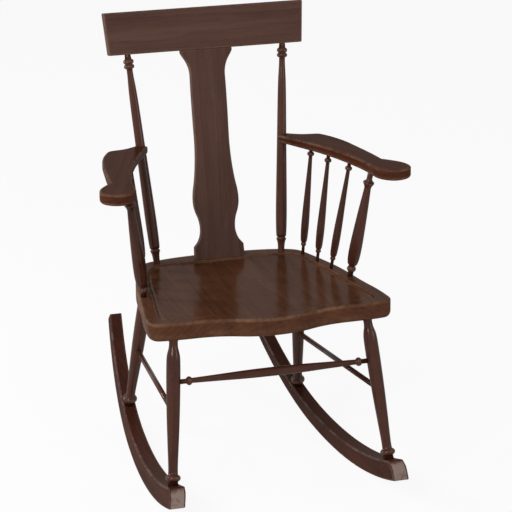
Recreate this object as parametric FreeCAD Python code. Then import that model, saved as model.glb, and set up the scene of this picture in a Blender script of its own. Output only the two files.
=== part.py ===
import FreeCAD, Part

import math
import os

# Boston rocking chair in turned and sawn wood. Sizes are in millimetres.
# The chair is drawn with its seat level: X to the right seen from the front, Y to the back, Z up,
# with the lowest point of the rockers at Z = 0. At the end it leans back to the angle at which it balances.
# A place on the right side is given, and the left side mirrors it.

# Seat plank
SEAT_TOP = 421.5
SEAT_THICKNESS = 40
SEAT_DIP_X = 165
SEAT_DIP_Y = -255.5
SEAT_FRONT_BULGE = 32.5
SEAT_CORNER_X = 249
SEAT_CORNER_Y = -250.5
SEAT_SIDE_X = 268
SEAT_SIDE_Y = -222
SEAT_WAIST_X = 243
SEAT_WAIST_Y = -50
SEAT_REAR_X = 193
SEAT_REAR_Y = 147
SEAT_BACK_Y = 197.5
SEAT_UNDERCUT = 8
SEAT_TOP_EASE = 2.5
RIM_WIDTH = 29
RIM_BACK_Y = 149
RIM_CORNER_X = 163
RIM_CORNER_ROUND = 12
RIM_GROOVE_WIDTH = 5.5
RIM_GROOVE_DEPTH = 2.6
SADDLE_DEPTH = 5
SADDLE_EDGE_DEPTH = 0.8
SADDLE_LEVEL_SHARE = 0.3

# Back: posts, splat and crest rail lie in one raked plane, measured up that plane from the seat
BACK_RAKE = 11.3
BACK_FOOT_Y = 162.3
CREST_HEIGHT = 468
CREST_DEPTH = 94
CREST_BOTTOM_WIDTH = 445
CREST_TOP_WIDTH = 459
CREST_THICKNESS = 21
CREST_EDGE_EASE = 1.5
SPLAT_THICKNESS = 15
SPLAT_FOOT_WIDTH = 116
SPLAT_STEP_HEIGHT = 27
SPLAT_NECK_WIDTH = 79
SPLAT_BULB_WIDTH = 104
SPLAT_STEM_WIDTH = 80
SPLAT_HEAD_WIDTH = 118
SPLAT_TENON_WIDTH = 84
SPLAT_TENON_THICKNESS = 8
SPLAT_TENON_LENGTH = 16
POST_FOOT_X = 145.4
POST_HEAD_X = 179
POST_FOOT_DIAMETER = 14
POST_BELLY_DIAMETER = 25
POST_ARM_DIAMETER = 21.2
POST_NECK_DIAMETER = 13.5
POST_BEAD_DIAMETER = 23.4
POST_HEAD_DIAMETER = 13
POST_TENON_LENGTH = 25

# Arms
ARM_TOP_REAR = 682.5
ARM_RISE = 4
ARM_THICKNESS_REAR = 18
ARM_THICKNESS_FRONT = 25
ARM_TOP_EASE = 2.5
ARM_BOTTOM_EASE = 5
ARM_REAR_OUTER = (176, 213)
ARM_ELBOW = (241, 187)
ARM_WAIST = (283, 80)
ARM_NOTCH = (303, -72)
ARM_SCROLL_SIDE = (342, -140)
ARM_SCROLL_FRONT = (305, -176)
ARM_INNER_FRONT = (264, -142)
ARM_INNER_MIDDLE = (233, 20)
ARM_REAR_INNER = (151, 201)

# Turned supports under the arms: places on the seat and under the arm
ARM_POST_FOOT = (233.6, -61.2)
ARM_POST_HEAD = (270, -92)
ARM_POST_END_DIAMETER = 12.5
ARM_POST_BEAD_DIAMETER = 20
ARM_POST_BELLY_DIAMETER = 27.3
ARM_POST_THROAT_DIAMETER = 15.3
ARM_POST_RING_DIAMETER = 24.6
SPINDLE_FEET = [(184.8, 125.4), (199.5, 65.2), (211.5, 3.6)]
SPINDLE_HEADS = [(208.4, 134.5), (228.4, 71.6), (251.5, -4.4)]
SPINDLE_FOOT_DIAMETER = 7
SPINDLE_BEAD_DIAMETER = 12
SPINDLE_BELLY_DIAMETER = 17.5
SPINDLE_THROAT_DIAMETER = 8.2
SPINDLE_RING_DIAMETER = 16
ARM_TENON_LENGTH = 12

# Legs
FRONT_LEG_HEAD = (214.5, -231)
REAR_LEG_HEAD = (176.7, 131)
FRONT_LEG_FOOT_Y = -302
REAR_LEG_FOOT_Y = 222
LEG_COLLAR_DIAMETER = 25
LEG_NECK_DIAMETER = 18.5
LEG_BELLY_DIAMETER = 30
LEG_ANKLE_DIAMETER = 20.3
LEG_RING_DIAMETER = 32.5
LEG_RING_WIDTH = 13
LEG_RING_HEIGHT = 16
LEG_FOOT_DIAMETER = 22
LEG_HEAD_TENON_DIAMETER = 16
LEG_HEAD_TENON_LENGTH = 22
LEG_FOOT_TENON_DIAMETER = 14
LEG_FOOT_TENON_LENGTH = 22

# Stretchers
FRONT_STRETCHER_Z = 291.5
FRONT_STRETCHER_END_DIAMETER = 10.5
FRONT_STRETCHER_BEAD_DIAMETER = 19
FRONT_STRETCHER_BEAD_X = 188
FRONT_STRETCHER_NECK_DIAMETER = 11
FRONT_STRETCHER_MIDDLE_DIAMETER = 19.5
SIDE_STRETCHER_DIAMETER = 11.5
SIDE_STRETCHER_FRONT_Z = 231
SIDE_STRETCHER_REAR_Z = 216
STRETCHER_TENON_LENGTH = 9

# Rockers: boards that lean inward and toe in
ROCKER_RADIUS = 1040
ROCKER_CENTRE_Y = -34
ROCKER_TAIL_RADIUS = 700
ROCKER_TAIL_START_Y = 110
ROCKER_NOSE_Y = -362
ROCKER_TAIL_Y = 488
ROCKER_NOSE_DEPTH = 46.5
ROCKER_TAIL_DEPTH = 32
ROCKER_NOSE_THICKNESS = 35.5
ROCKER_TAIL_THICKNESS = 29
ROCKER_OUTER_X = 243.4
ROCKER_LEAN = 6.5
ROCKER_TOE_IN = 4.46

# Hidden pins and screws
SCREW_DIAMETER = 4.5
SCREW_HEAD_DIAMETER = 8.5
SCREW_LENGTH = 48
PIN_DIAMETER = 5
CREST_PIN_LENGTH = 16
CREST_PIN_RISE = 14
ROCKER_PIN_DEPTH = 11
ROCKER_PIN_LENGTH = 22

# Glued joints: room around a tenon and past its end
GLUE_GAP = 0.1
END_GAP = 0.5

# Flats round a turned piece, a thin rod and the saddle's bowl
TURNED_SIDES = 12
FINE_SIDES = 10
SADDLE_SIDES = 20

V = FreeCAD.Vector
REACH = 2000
SEAT_UNDERSIDE = SEAT_TOP - SEAT_THICKNESS
BACK_PLANE = FreeCAD.Placement(
    V(0, BACK_FOOT_Y, SEAT_TOP), FreeCAD.Rotation(V(1, 0, 0), 90 - BACK_RAKE)
)


def on_back(x, rise, forward=0):
    """Place at x, at a distance up the raked back plane and forward of it."""
    return BACK_PLANE.multVec(V(x, rise, forward))


def bow(start, end, heading):
    """Edge from start to end in a level plane that sets off along a heading: an arc, or a line."""
    chord = end - start
    turn = math.atan2(heading.x * chord.y - heading.y * chord.x, heading.x * chord.x + heading.y * chord.y)
    if abs(turn) < 0.001:
        return Part.makeLine(start, end)
    across = V(-chord.y, chord.x, 0)
    middle = (start + end) * 0.5 - across * (math.tan(turn / 2) / 2)
    return Part.Arc(start, middle, end).toShape()


def flowing(stations, z=0):
    """Edges of a smooth line of tangent arcs, two between each pair of (x, y, heading in degrees)."""
    edges = []
    for (x0, y0, turn0), (x1, y1, turn1) in zip(stations, stations[1:]):
        start = V(x0, y0, z)
        end = V(x1, y1, z)
        leave = V(math.cos(math.radians(turn0)), math.sin(math.radians(turn0)), 0)
        arrive = V(math.cos(math.radians(turn1)), math.sin(math.radians(turn1)), 0)
        chord = end - start
        along = chord.dot(leave + arrive)
        spread = 2 * (1 - leave.dot(arrive))
        if spread < 0.0001:
            reach = chord.dot(chord) / (4 * chord.dot(arrive))
        else:
            reach = (math.sqrt(along**2 + spread * chord.dot(chord)) - along) / spread
        middle = (start + end + (leave - arrive) * reach) * 0.5
        edges.append(bow(start, middle, leave))
        edges.append(bow(end, middle, arrive * -1))
    return edges


def both_sides(edges):
    """Closed wire from the edges of the right half, which start and end on the middle line."""
    return Part.Wire(Part.__sortEdges__(edges + [mirrored(edge) for edge in edges]))


def solid_of(faces):
    """Solid from the corner places of its flat faces."""
    return Part.Solid(Part.makeShell([Part.Face(Part.makePolygon(face + face[:1])) for face in faces]))


def sides_between(low, high):
    """Corner places of the faces that join two rings of corners."""
    after = [(number + 1) % len(low) for number in range(len(low))]
    return [[low[i], low[j], high[j], high[i]] for i, j in enumerate(after)]


def wedge(low_at, high_at, xs, ys):
    """Solid between two sloping planes, whose levels are given as functions of y."""
    corners = [(xs[0], ys[0]), (xs[1], ys[0]), (xs[1], ys[1]), (xs[0], ys[1])]
    low = [V(x, y, low_at(y)) for x, y in corners]
    high = [V(x, y, high_at(y)) for x, y in corners]
    return solid_of(sides_between(low, high) + [low, high])


def rod(start, end, diameter):
    """Round rod between two places, with flats as fine as the small turned pieces."""
    return stood(turned([(0, diameter), ((end - start).Length, diameter)], FINE_SIDES), start, end)


def toward(start, end, distance):
    """Place at a distance from start on the line to end."""
    return start + (end - start) * (distance / (end - start).Length)


def mirrored(shape):
    """The left-hand twin of a right-hand shape."""
    return shape.mirror(V(0, 0, 0), V(1, 0, 0))


def socket(mouth, inside, diameter, depth):
    """Cutter for a round socket: it starts outside the mouth and ends past the tenon."""
    outside = toward(mouth, inside, -2 * diameter)
    end = toward(mouth, inside, depth + END_GAP)
    return rod(outside, end, diameter + 2 * GLUE_GAP)


def below(z):
    """Everything below a level."""
    return Part.makeBox(2 * REACH, 2 * REACH, REACH, V(-REACH, -REACH, z - REACH))


def above(z):
    """Everything above a level."""
    return Part.makeBox(2 * REACH, 2 * REACH, REACH, V(-REACH, -REACH, z))


def turned(places, sides):
    """Lathe-turned solid about Z, in flats: places are (height, diameter) pairs from its foot up."""
    turns = [2 * math.pi * side / sides for side in range(sides)]
    rings = []
    for height, diameter in places:
        half = diameter / 2
        rings.append([V(half * math.cos(turn), half * math.sin(turn), height) for turn in turns])
    faces = [rings[0], rings[-1]]
    for lower, upper in zip(rings, rings[1:]):
        faces += sides_between(lower, upper)
    return solid_of(faces)


def stood(shape, foot, head):
    """A shape turned about Z, stood on foot and pointed at head."""
    shape.Placement = FreeCAD.Placement(foot, FreeCAD.Rotation(V(0, 0, 1), head - foot))
    return shape


# Seat


def seat_outline(z):
    """Seat's edge at one level: a serpentine front, flared sides and a shallow bowed back."""
    return both_sides(flowing([
        (0, SEAT_DIP_Y - SEAT_FRONT_BULGE, 0),
        (SEAT_DIP_X, SEAT_DIP_Y, 0),
        (SEAT_CORNER_X, SEAT_CORNER_Y, 10),
        (SEAT_SIDE_X, SEAT_SIDE_Y, 93),
        (SEAT_WAIST_X, SEAT_WAIST_Y, 97),
        (SEAT_REAR_X, SEAT_REAR_Y, 109),
        (SEAT_REAR_X - 40, SEAT_BACK_Y - 18, 163),
        (0, SEAT_BACK_Y, 180),
    ], z))


def rim_outline(z):
    """Outer edge of the cut line that bounds the saddle: it passes in front of the back's feet."""
    side_x = SEAT_SIDE_X - RIM_WIDTH
    front_y = SEAT_DIP_Y + RIM_WIDTH
    return both_sides(flowing([
        (0, front_y - SEAT_FRONT_BULGE, 0),
        (SEAT_DIP_X, front_y, 0),
        (side_x - RIM_CORNER_ROUND, SEAT_CORNER_Y + RIM_WIDTH - 2, 12),
        (side_x, SEAT_CORNER_Y + RIM_WIDTH + RIM_CORNER_ROUND, 95),
        (SEAT_WAIST_X - RIM_WIDTH, SEAT_WAIST_Y, 98),
        (RIM_CORNER_X + 15, RIM_BACK_Y - 36, 109),
        (RIM_CORNER_X - 25, RIM_BACK_Y - 2, 178),
        (0, RIM_BACK_Y, 180),
    ], z))


def inside_rim(inset, low, high):
    """Upright block inside the cut line, between two levels counted from the seat's top."""
    outline = rim_outline(SEAT_TOP + low).makeOffset2D(-inset)
    return Part.Face(outline).extrude(V(0, 0, high - low))


def rim_groove():
    """Cutter for the line: a shallow channel, which stands out above the seat."""
    channel = Part.Face(rim_outline(SEAT_TOP - RIM_GROOVE_DEPTH)).extrude(V(0, 0, 2 * RIM_GROOVE_DEPTH))
    return channel.cut(inside_rim(RIM_GROOVE_WIDTH, -2 * RIM_GROOVE_DEPTH, 2 * RIM_GROOVE_DEPTH))


def saddle_hollow():
    """Cutter for the dished top inside the line: a very shallow bowl in flats, level in its middle."""
    rise = (SADDLE_DEPTH - SADDLE_EDGE_DEPTH) / (1 - SADDLE_LEVEL_SHARE**2)
    middle_y = (SEAT_DIP_Y - SEAT_FRONT_BULGE + RIM_WIDTH + RIM_BACK_Y) / 2
    reach = math.hypot(SEAT_SIDE_X - RIM_WIDTH, middle_y - SEAT_CORNER_Y - RIM_WIDTH)
    shares = (SADDLE_LEVEL_SHARE, 0.55, 0.8, 1.05)
    places = [(rise * (share**2 - SADDLE_LEVEL_SHARE**2), 2 * reach * share) for share in shares]
    bowl = turned(places + [(4 * SADDLE_DEPTH, 2.1 * reach)], SADDLE_SIDES)
    bowl.translate(V(0, middle_y, SEAT_TOP - SADDLE_DEPTH))
    return inside_rim(RIM_GROOVE_WIDTH - 1, -2 * SADDLE_DEPTH, SADDLE_DEPTH).common(bowl)


def seat_plank():
    """Seat before its sockets are bored: its lower edge is cut under all round."""
    plank = Part.Face(seat_outline(SEAT_UNDERSIDE)).extrude(V(0, 0, SEAT_THICKNESS))
    top = [edge for edge in plank.Edges if edge.BoundBox.ZMin > SEAT_TOP - 0.01]
    plank = plank.makeChamfer(SEAT_TOP_EASE, top)
    bottom = [edge for edge in plank.Edges if edge.BoundBox.ZMax < SEAT_UNDERSIDE + 0.01]
    plank = plank.makeChamfer(SEAT_UNDERCUT, bottom)
    return plank.cut(rim_groove()).cut(saddle_hollow())


# Back


def board(wire, thickness):
    """Flat board in the back plane from its outline, given in x and height up the plane."""
    flat = Part.Face(wire).extrude(V(0, 0, thickness))
    flat.translate(V(0, 0, -thickness / 2))
    return flat


def crest_rail():
    """Plain board that widens slightly to its top."""
    bottom = CREST_BOTTOM_WIDTH / 2
    top = CREST_TOP_WIDTH / 2
    corners = [
        V(-bottom, CREST_HEIGHT, 0),
        V(bottom, CREST_HEIGHT, 0),
        V(top, CREST_HEIGHT + CREST_DEPTH, 0),
        V(-top, CREST_HEIGHT + CREST_DEPTH, 0),
    ]
    rail = board(Part.makePolygon(corners + corners[:1]), CREST_THICKNESS)
    rail = rail.makeChamfer(CREST_EDGE_EASE, rail.Edges)
    rail.Placement = BACK_PLANE
    return rail


def splat_tenon(end_gap=0, side_gap=0):
    """Flat tongue through the splat's whole height that stands out at both ends."""
    length = CREST_HEIGHT + 2 * (SPLAT_TENON_LENGTH + end_gap)
    width = SPLAT_TENON_WIDTH + 2 * side_gap
    thickness = SPLAT_TENON_THICKNESS + 2 * side_gap
    corner = V(-width / 2, -SPLAT_TENON_LENGTH - end_gap, -thickness / 2)
    tongue = Part.makeBox(width, length, thickness, corner)
    tongue.Placement = BACK_PLANE
    return tongue


def back_splat():
    """Vase-shaped board on the seat, with a tenon at each end."""
    foot = SPLAT_FOOT_WIDTH / 2
    neck = SPLAT_NECK_WIDTH / 2
    bulb = SPLAT_BULB_WIDTH / 2
    stem = SPLAT_STEM_WIDTH / 2
    head = SPLAT_HEAD_WIDTH / 2
    low = -SPLAT_THICKNESS
    step = SPLAT_STEP_HEIGHT
    side = flowing([
        (foot - 5, step + 4, 135),
        (neck, step + 40, 90),
        (bulb, step + 103, 90),
        (bulb - 8, step + 163, 97),
        (stem, CREST_HEIGHT * 0.785, 90),
        (head - 9, CREST_HEIGHT - 21, 58),
        (head, CREST_HEIGHT - 5, 72),
    ])
    corners = [V(0, low, 0), V(foot, low, 0), V(foot - 1.5, step, 0), V(foot - 5, step + 4, 0)]
    top = [V(head, CREST_HEIGHT - 5, 0), V(head, CREST_HEIGHT, 0), V(0, CREST_HEIGHT, 0)]
    edges = Part.makePolygon(corners).Edges + side + Part.makePolygon(top).Edges
    body = board(both_sides(edges), SPLAT_THICKNESS)
    body.Placement = BACK_PLANE
    return body.cut(below(SEAT_TOP)).fuse(splat_tenon())


def post_ends():
    """Where the axis of the right post leaves the seat and enters the crest rail."""
    return on_back(POST_FOOT_X, 0), on_back(POST_HEAD_X, CREST_HEIGHT)


def post_at_level(z):
    """Place on the post's axis at a level."""
    foot, head = post_ends()
    return foot + (head - foot) * ((z - foot.z) / (head.z - foot.z))


def back_post():
    """Turned post: a cup above the seat, a long body, and two beads under the crest rail."""
    foot, head = post_ends()
    length = (head - foot).Length
    arm = (post_at_level(arm_middle_z(ARM_REAR_INNER[1])) - foot).Length
    cup = POST_BELLY_DIAMETER - 3
    thin = POST_NECK_DIAMETER
    bead = POST_BEAD_DIAMETER
    solid = turned([
        (-POST_TENON_LENGTH, POST_FOOT_DIAMETER),
        (2, POST_FOOT_DIAMETER),
        (20, POST_FOOT_DIAMETER + 3),
        (27, cup),
        (30, cup),
        (32, cup - 4),
        (35, cup),
        (98, POST_BELLY_DIAMETER),
        (arm, POST_ARM_DIAMETER),
        (length - 100, POST_ARM_DIAMETER - 2.2),
        (length - 45, thin + 0.6),
        (length - 31, thin),
        (length - 28.5, bead),
        (length - 25.5, bead),
        (length - 21.5, bead - 6),
        (length - 17.5, bead),
        (length - 13.5, bead),
        (length - 9.5, POST_HEAD_DIAMETER + 2),
        (length, POST_HEAD_DIAMETER),
        (length + POST_TENON_LENGTH, POST_HEAD_DIAMETER),
    ], TURNED_SIDES)
    return stood(solid, foot, head)


# Arms


def arm_top_z(y):
    """Level of the arm's top, which rises slightly to the front."""
    share = (ARM_REAR_OUTER[1] - y) / (ARM_REAR_OUTER[1] - ARM_SCROLL_FRONT[1])
    return ARM_TOP_REAR + ARM_RISE * share


def arm_underside_z(y):
    """Level of the arm's underside: the board is thicker at the front."""
    share = (ARM_REAR_OUTER[1] - y) / (ARM_REAR_OUTER[1] - ARM_SCROLL_FRONT[1])
    return arm_top_z(y) - ARM_THICKNESS_REAR - (ARM_THICKNESS_FRONT - ARM_THICKNESS_REAR) * share


def arm_middle_z(y):
    """Level half way through the arm."""
    return (arm_top_z(y) + arm_underside_z(y)) / 2


def arm_outline(z):
    """Plan of the arm: rear elbow, long hollow side, notch, front scroll and the bowed inner side."""
    outer = flowing([
        (*ARM_REAR_OUTER, -38),
        (ARM_ELBOW[0] - 22, ARM_ELBOW[1] + 4, -8),
        (ARM_ELBOW[0] + 8, ARM_ELBOW[1] - 8, -60),
        (*ARM_WAIST, -81),
        (*ARM_NOTCH, -86),
    ], z)
    inner = flowing([
        (*ARM_NOTCH, -44),
        (*ARM_SCROLL_SIDE, -88),
        (*ARM_SCROLL_FRONT, -178),
        (ARM_INNER_FRONT[0] + 6, ARM_INNER_FRONT[1] - 12, 124),
        (ARM_INNER_FRONT[0] - 2, ARM_INNER_FRONT[1] + 22, 94),
        (*ARM_INNER_MIDDLE, 107),
        (*ARM_REAR_INNER, 118),
    ], z)
    end = Part.makeLine(V(*ARM_REAR_INNER, z), V(*ARM_REAR_OUTER, z))
    return Part.Wire(Part.__sortEdges__(outer + inner + [end]))


def arm_screw_line():
    """Axis of the right arm's screw: from the back of the post into the arm."""
    centre = post_at_level(arm_middle_z(ARM_REAR_INNER[1]))
    end_x = (ARM_ELBOW[0] + ARM_INNER_MIDDLE[0] - 31) / 2
    end_y = (ARM_ELBOW[1] + ARM_INNER_MIDDLE[1] + 84) / 2
    target = V(end_x, end_y, centre.z)
    return toward(centre, target, -POST_ARM_DIAMETER / 2), target


def arm():
    """Scrolled board, coped at its rear end to fit round the post."""
    low = arm_underside_z(ARM_SCROLL_FRONT[1]) - ARM_THICKNESS_FRONT
    blank = Part.Face(arm_outline(low)).extrude(V(0, 0, 3 * ARM_THICKNESS_FRONT))
    ends = (2 * ARM_SCROLL_FRONT[1], 2 * ARM_REAR_OUTER[1])
    blank = blank.common(wedge(arm_underside_z, arm_top_z, (0, 2 * ARM_SCROLL_SIDE[0]), ends))
    middle = arm_middle_z(ARM_SCROLL_SIDE[1])
    flat_edges = [edge for edge in blank.Edges if edge.BoundBox.ZLength < ARM_THICKNESS_REAR / 2]
    top = [edge for edge in flat_edges if edge.BoundBox.ZMin > middle]
    blank = blank.makeChamfer(ARM_TOP_EASE, top)
    flat_edges = [edge for edge in blank.Edges if edge.BoundBox.ZLength < ARM_THICKNESS_REAR / 2]
    bottom = [edge for edge in flat_edges if edge.BoundBox.ZMax < arm_underside_z(ARM_REAR_OUTER[1]) + 1]
    blank = blank.makeChamfer(ARM_BOTTOM_EASE, bottom)
    foot, head = post_ends()
    return blank.cut(rod(foot, head, POST_ARM_DIAMETER + 2 * GLUE_GAP))


def arm_screw():
    """Countersunk wood screw: its head lies in the back of the post."""
    start, target = arm_screw_line()
    sink = SCREW_HEAD_DIAMETER - SCREW_DIAMETER
    solid = turned([
        (1, SCREW_HEAD_DIAMETER),
        (1.5, SCREW_HEAD_DIAMETER),
        (1.5 + sink / 2, SCREW_DIAMETER),
        (SCREW_LENGTH - 6, SCREW_DIAMETER),
        (SCREW_LENGTH, 1),
    ], FINE_SIDES)
    return stood(solid, start, target)


def arm_post():
    """Turned front support of the arm, with a bead low down and a ring under the arm."""
    foot = V(*ARM_POST_FOOT, SEAT_TOP)
    head = V(*ARM_POST_HEAD, arm_underside_z(ARM_POST_HEAD[1]))
    length = (head - foot).Length
    end = ARM_POST_END_DIAMETER
    belly = ARM_POST_BELLY_DIAMETER
    throat = ARM_POST_THROAT_DIAMETER
    ring = ARM_POST_RING_DIAMETER
    solid = turned([
        (-POST_TENON_LENGTH, end),
        (12, end),
        (16, ARM_POST_BEAD_DIAMETER),
        (19, ARM_POST_BEAD_DIAMETER),
        (24, end + 2),
        (30, belly - 5.5),
        (45, belly - 1),
        (75, belly),
        (length * 0.46, belly - 2.3),
        (length * 0.66, throat + 5),
        (length - 44, throat),
        (length - 34, throat),
        (length - 25, ring),
        (length - 22, ring),
        (length - 17, end),
        (length + ARM_TENON_LENGTH, end),
    ], TURNED_SIDES)
    return stood(solid, foot, head)


def spindle(foot_place, head_place):
    """Turned arm spindle: thin foot, bead, long belly and a ring under the arm."""
    foot = V(*foot_place, SEAT_TOP)
    head = V(*head_place, arm_underside_z(head_place[1]))
    length = (head - foot).Length
    end = SPINDLE_FOOT_DIAMETER
    belly = SPINDLE_BELLY_DIAMETER
    throat = SPINDLE_THROAT_DIAMETER
    solid = turned([
        (-ARM_TENON_LENGTH, end),
        (19, end),
        (23, SPINDLE_BEAD_DIAMETER),
        (27, end + 2.5),
        (31, belly - 3),
        (64, belly),
        (98, belly - 1),
        (length - 97, belly - 4),
        (length - 18, throat),
        (length - 14, SPINDLE_RING_DIAMETER),
        (length - 9, throat),
        (length + ARM_TENON_LENGTH, throat),
    ], FINE_SIDES)
    return stood(solid, foot, head)


# Rockers


def rocker_under_z(y):
    """Level of the rocker's underside: a large arc, then a tighter one that meets it smoothly."""
    if y <= ROCKER_TAIL_START_Y:
        return ROCKER_RADIUS - math.sqrt(ROCKER_RADIUS**2 - (y - ROCKER_CENTRE_Y) ** 2)
    centre_y, centre_z = rocker_tail_centre()
    return centre_z - math.sqrt(ROCKER_TAIL_RADIUS**2 - (y - centre_y) ** 2)


def rocker_tail_centre():
    """Centre of the tail's arc, on the line from the large arc's centre to where the two meet."""
    share = 1 - ROCKER_TAIL_RADIUS / ROCKER_RADIUS
    meet_y = ROCKER_TAIL_START_Y
    meet_z = rocker_under_z(meet_y)
    centre_y = ROCKER_CENTRE_Y + (meet_y - ROCKER_CENTRE_Y) * share
    centre_z = ROCKER_RADIUS + (meet_z - ROCKER_RADIUS) * share
    return centre_y, centre_z


def rocker_depth(y):
    """Upright depth of the board, which tapers to the tail."""
    share = (y - ROCKER_NOSE_Y) / (ROCKER_TAIL_Y - ROCKER_NOSE_Y)
    return ROCKER_NOSE_DEPTH + (ROCKER_TAIL_DEPTH - ROCKER_NOSE_DEPTH) * share


def rocker_top_z(y):
    """Level of the rocker's upper edge."""
    return rocker_under_z(y) + rocker_depth(y)


def rocker_outer_x(y, z):
    """Outer face of the right rocker, a leaning plane that toes in to the back."""
    return ROCKER_OUTER_X - y * math.tan(math.radians(ROCKER_TOE_IN)) - z * math.tan(math.radians(ROCKER_LEAN))


def rocker_thickness(y):
    """Thickness across the board, which thins to the tail."""
    share = (y - ROCKER_NOSE_Y) / (ROCKER_TAIL_Y - ROCKER_NOSE_Y)
    return ROCKER_NOSE_THICKNESS + (ROCKER_TAIL_THICKNESS - ROCKER_NOSE_THICKNESS) * share


def rocker_middle_x(y, z):
    """Middle of the right rocker's board."""
    return rocker_outer_x(y, z) - rocker_thickness(y) / 2


def rocker_slab():
    """Leaning, tapering slab between the board's two faces, longer and taller than the rocker."""
    ends = []
    for y in (2 * ROCKER_NOSE_Y, 2 * ROCKER_TAIL_Y):
        end = []
        for z, share in ((-50, 0), (-50, 1), (SEAT_UNDERSIDE, 1), (SEAT_UNDERSIDE, 0)):
            end.append(V(rocker_outer_x(y, z) - share * rocker_thickness(y), y, z))
        ends.append(end)
    return solid_of(sides_between(*ends) + ends)


def rocker():
    """Right rocker before its sockets are bored: its side outline cut out of the leaning slab."""
    centre_y, centre_z = rocker_tail_centre()
    tail_z = rocker_under_z(ROCKER_TAIL_Y)
    tail_turn = math.degrees(math.atan2(ROCKER_TAIL_Y - centre_y, centre_z - tail_z))
    tail_across = ROCKER_TAIL_DEPTH * math.cos(math.radians(tail_turn))
    tip_y = ROCKER_TAIL_Y - math.sin(math.radians(tail_turn)) * tail_across
    tip_z = tail_z + math.cos(math.radians(tail_turn)) * tail_across
    meet_turn = math.degrees(math.asin((ROCKER_TAIL_START_Y - ROCKER_CENTRE_Y) / ROCKER_RADIUS))
    nose_turn = math.degrees(math.asin((ROCKER_NOSE_Y - ROCKER_CENTRE_Y) / ROCKER_RADIUS))
    nose_z = rocker_under_z(ROCKER_NOSE_Y)
    nose_top_y = ROCKER_NOSE_Y + ROCKER_NOSE_DEPTH / 2
    nose_top = V(nose_top_y, rocker_top_z(nose_top_y), 0)
    nose_foot = V(ROCKER_NOSE_Y, nose_z, 0)
    under = flowing([
        (ROCKER_NOSE_Y, nose_z, nose_turn),
        (ROCKER_TAIL_START_Y, rocker_under_z(ROCKER_TAIL_START_Y), meet_turn),
        (ROCKER_TAIL_Y, tail_z, tail_turn),
    ])
    taper = math.degrees(math.atan2(ROCKER_NOSE_DEPTH - ROCKER_TAIL_DEPTH, ROCKER_TAIL_Y - ROCKER_NOSE_Y))
    upper = flowing([
        (nose_top.x, nose_top.y, nose_turn - taper),
        (ROCKER_TAIL_START_Y, rocker_top_z(ROCKER_TAIL_START_Y), meet_turn - taper),
        (tip_y, tip_z, tail_turn - taper),
    ])
    nose_front = V(ROCKER_NOSE_Y + 6, nose_z + ROCKER_NOSE_DEPTH / 2, 0)
    nose = Part.Arc(nose_top, nose_front, nose_foot).toShape()
    tail = Part.makeLine(V(ROCKER_TAIL_Y, tail_z, 0), V(tip_y, tip_z, 0))
    side = Part.Wire(Part.__sortEdges__(under + upper + [nose, tail]))
    blank = Part.Face(side).extrude(V(0, 0, 2 * ROCKER_OUTER_X))
    upright = FreeCAD.Rotation(V(0, 1, 0), V(0, 0, 1), V(1, 0, 0), "XYZ")
    blank.Placement = FreeCAD.Placement(V(0, 0, 0), upright)
    return blank.common(rocker_slab())


# Legs and stretchers


def leg_line(head_place, foot_y):
    """Where a leg's axis leaves the seat's underside and meets the rocker's upper edge."""
    foot_z = rocker_top_z(foot_y)
    head = V(*head_place, SEAT_UNDERSIDE)
    foot = V(rocker_middle_x(foot_y, foot_z), foot_y, foot_z)
    return head, foot


def on_leg(line, z):
    """Place on a leg's axis at a level."""
    head, foot = line
    return foot + (head - foot) * ((z - foot.z) / (head.z - foot.z))


def leg(line, rocker_blank):
    """Turned leg with a collar under the seat and a ring above the rocker, and a tenon at each end."""
    head, foot = line
    length = (head - foot).Length
    spare = LEG_FOOT_DIAMETER / 3
    ring_low = LEG_RING_HEIGHT - LEG_RING_WIDTH / 2
    ring_high = LEG_RING_HEIGHT + LEG_RING_WIDTH / 2
    ankle = LEG_ANKLE_DIAMETER
    belly = LEG_BELLY_DIAMETER
    solid = turned([
        (-spare, LEG_FOOT_DIAMETER),
        (ring_low, LEG_FOOT_DIAMETER),
        (ring_low + 4, LEG_RING_DIAMETER),
        (ring_high - 4, LEG_RING_DIAMETER),
        (ring_high, ankle + 1),
        (ring_high + 16, ankle),
        (length * 0.32, ankle + 4.5),
        (length * 0.5, belly - 1.8),
        (length * 0.7, belly),
        (length - 46, belly - 0.6),
        (length - 32, belly - 3.5),
        (length - 18, LEG_NECK_DIAMETER + 0.6),
        (length - 9, LEG_NECK_DIAMETER),
        (length - 1, LEG_COLLAR_DIAMETER),
        (length + spare, LEG_COLLAR_DIAMETER),
    ], TURNED_SIDES)
    body = stood(solid, foot, head).cut(rocker_blank).cut(above(SEAT_UNDERSIDE))
    inner_end = toward(foot, head, LEG_RING_HEIGHT)
    foot_tenon = rod(inner_end, toward(foot, head, -LEG_FOOT_TENON_LENGTH), LEG_FOOT_TENON_DIAMETER)
    head_start = toward(head, foot, LEG_RING_HEIGHT)
    head_tenon = rod(head_start, toward(head, foot, -LEG_HEAD_TENON_LENGTH), LEG_HEAD_TENON_DIAMETER)
    return body.fuse([foot_tenon, head_tenon])


def front_stretcher_ends():
    """Ends of the front stretcher's tenons, inside the two front legs."""
    right = on_leg(front_leg_line, FRONT_STRETCHER_Z)
    inner = right.x - LEG_BELLY_DIAMETER / 2 + STRETCHER_TENON_LENGTH
    return V(-inner, right.y, right.z), V(inner, right.y, right.z)


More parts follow.
